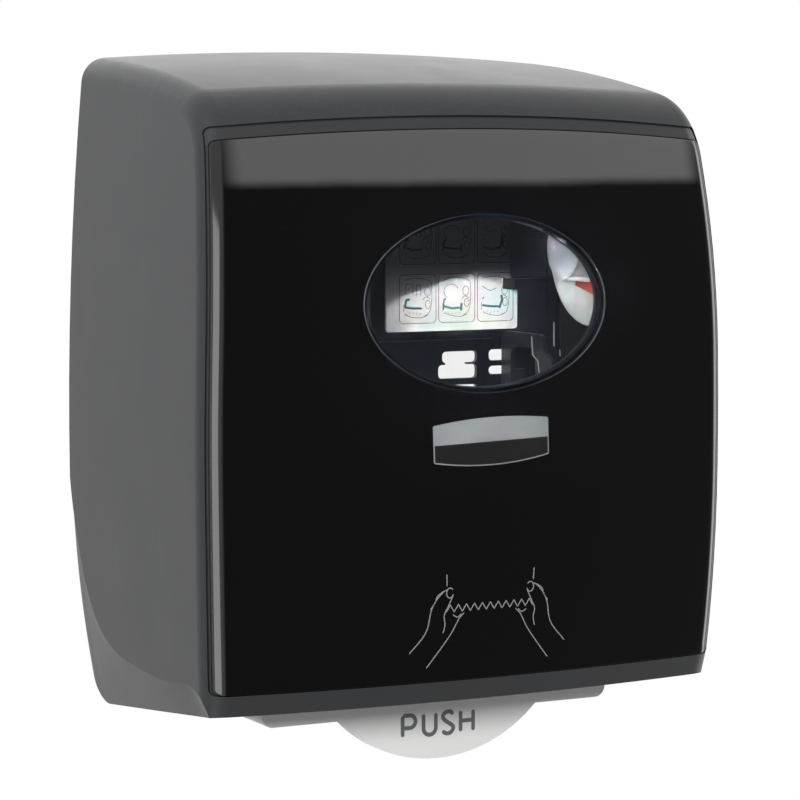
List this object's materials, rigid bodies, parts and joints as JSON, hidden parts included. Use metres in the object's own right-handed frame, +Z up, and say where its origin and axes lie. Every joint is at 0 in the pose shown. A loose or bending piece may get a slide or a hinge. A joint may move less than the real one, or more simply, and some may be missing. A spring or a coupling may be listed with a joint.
{
  "type": "lever paper towel dispenser",
  "caption": "Wall-mounted lever paper towel dispenser: black drop-down cover with gloss front and oval window, roll arms, drum with knife, pinch roller, geared push lever",
  "frame": {"origin": "middle of the four wall screws, on the wall plane", "axes": "+X right along the wall seen from the front, +Y into the wall (the front faces -Y), +Z up"},
  "size_m": [0.297, 0.1932, 0.3654],
  "materials": {
    "matte_black": "fine grained dark grey-black moulding",
    "gloss_black": "polished black",
    "smoked_clear": "clear dark-tinted plastic, glossy",
    "housing_grey": "moulded, satin",
    "frame_grey": "moulded, satin",
    "drum_grey": "moulded, satin",
    "arm_grey": "moulded, satin",
    "hub_white": "moulded, satin light grey",
    "gear_white": "natural acetal",
    "bush_white": "natural acetal",
    "lever_white": "light grey moulding, satin",
    "label_white": "printed plate, satin",
    "tab_orange": "moulded red-orange",
    "rubber_dark": "matt rubber",
    "steel": "bright zinc-plated steel",
    "spring_steel": "spring wire",
    "lock_metal": "nickel-plated"
  },
  "bodies": {
    "housing": {"rear_housing": "housing_grey", "instruction_plate": "label_white", "cover_hinge_pins": "steel", "side_plate_left": "frame_grey", "side_plate_right": "frame_grey", "frame_screws": "steel", "drum_bushes": "bush_white", "knife_cam": "bush_white", "pinch_springs": "spring_steel", "lever_spring": "spring_steel", "front_guide": "frame_grey", "drum_shroud": "frame_grey", "arm_pins": "steel", "arm_springs": "spring_steel", "lock_keeper": "lock_metal"},
    "cover": {"cover_shell": "matte_black", "front_panel": "gloss_black", "window_lens": "smoked_clear", "lens_ring": "matte_black"},
    "lock": {"lock_barrel": "lock_metal", "lock_tongue": "lock_metal"},
    "drum": {"drum_shell": "drum_grey", "grip_bands": "rubber_dark", "drum_shaft": "steel", "feed_wheel": "bush_white", "drum_clip": "spring_steel"},
    "knife": {"knife_carrier": "drum_grey", "knife_blade": "steel"},
    "follower": {"cam_roller": "bush_white"},
    "clutch": {"clutch_gear": "gear_white"},
    "pinch_yoke": {"pinch_frame": "drum_grey"},
    "pinch": {"pinch_shaft": "steel", "pinch_roller": "rubber_dark"},
    "lever": {"push_lever": "lever_white", "lever_shaft": "steel", "lever_clips": "spring_steel", "feed_sector": "gear_white"},
    "arm_right": {"roll_arm_right": "arm_grey"},
    "arm_left": {"roll_arm_left": "arm_grey"},
    "hub_right": {"roll_hub_right": "hub_white", "roll_stop_tab": "tab_orange"},
    "hub_left": {"roll_hub_left": "hub_white"}
  },
  "joints": [
    {"name": "cover_hinge", "type": "hinge", "parent": "housing", "child": "cover", "pos_m": [0, -0.018, -0.171], "axis": [1, 0, 0], "range_deg": [0, 85]},
    {"name": "lock_turn", "type": "hinge", "parent": "cover", "child": "lock", "pos_m": [0.138, -0.032, 0.114], "axis": [1, 0, 0], "range_deg": [0, 90]},
    {"name": "drum_spin", "type": "hinge", "parent": "housing", "child": "drum", "pos_m": [0, -0.108, -0.108], "axis": [1, 0, 0], "continuous": true},
    {"name": "knife_swing", "type": "hinge", "parent": "drum", "child": "knife", "pos_m": [0, -0.1173, -0.12794], "axis": [1, 0, 0], "range_deg": [0, 20], "stiffness_Nm_per_rad": 0.2, "springref_deg": -17.19},
    {"name": "cam_roller_spin", "type": "hinge", "parent": "knife", "child": "follower", "pos_m": [-0.109, -0.12566, -0.12079], "axis": [1, 0, 0], "continuous": true},
    {"name": "clutch_spin", "type": "hinge", "parent": "housing", "child": "clutch", "pos_m": [0.119, -0.108, -0.108], "axis": [1, 0, 0], "range_deg": [-45, 0]},
    {"name": "pinch_lift", "type": "hinge", "parent": "housing", "child": "pinch_yoke", "pos_m": [0, -0.048, -0.078], "axis": [-1, 0, 0], "range_deg": [0, 8], "stiffness_Nm_per_rad": 0.5, "springref_deg": -17.19},
    {"name": "pinch_spin", "type": "hinge", "parent": "pinch_yoke", "child": "pinch", "pos_m": [0, -0.07286, -0.07286], "axis": [1, 0, 0], "continuous": true},
    {"name": "lever_push", "type": "hinge", "parent": "housing", "child": "lever", "pos_m": [0, -0.12798, -0.15601], "axis": [1, 0, 0], "range_deg": [0, 18], "stiffness_Nm_per_rad": 0.6, "springref_deg": -17.19},
    {"name": "arm_right_flex", "type": "hinge", "parent": "housing", "child": "arm_right", "pos_m": [0.12, -0.012, 0.052], "axis": [0, 0, 1], "range_deg": [0, 8], "stiffness_Nm_per_rad": 0.8, "springref_deg": -11.46},
    {"name": "arm_left_flex", "type": "hinge", "parent": "housing", "child": "arm_left", "pos_m": [-0.12, -0.012, 0.052], "axis": [0, 0, -1], "range_deg": [0, 8], "stiffness_Nm_per_rad": 0.8, "springref_deg": -11.46},
    {"name": "hub_right_spin", "type": "hinge", "parent": "arm_right", "child": "hub_right", "pos_m": [0.105, -0.112, 0.052], "axis": [1, 0, 0], "continuous": true},
    {"name": "hub_left_spin", "type": "hinge", "parent": "arm_left", "child": "hub_left", "pos_m": [-0.105, -0.112, 0.052], "axis": [1, 0, 0], "continuous": true}
  ],
  "couplings": [
    {"joint": "clutch_spin", "follows": "lever_push", "ratio": -2.25},
    {"joint": "pinch_spin", "follows": "drum_spin", "ratio": -3.4909}
  ]
}
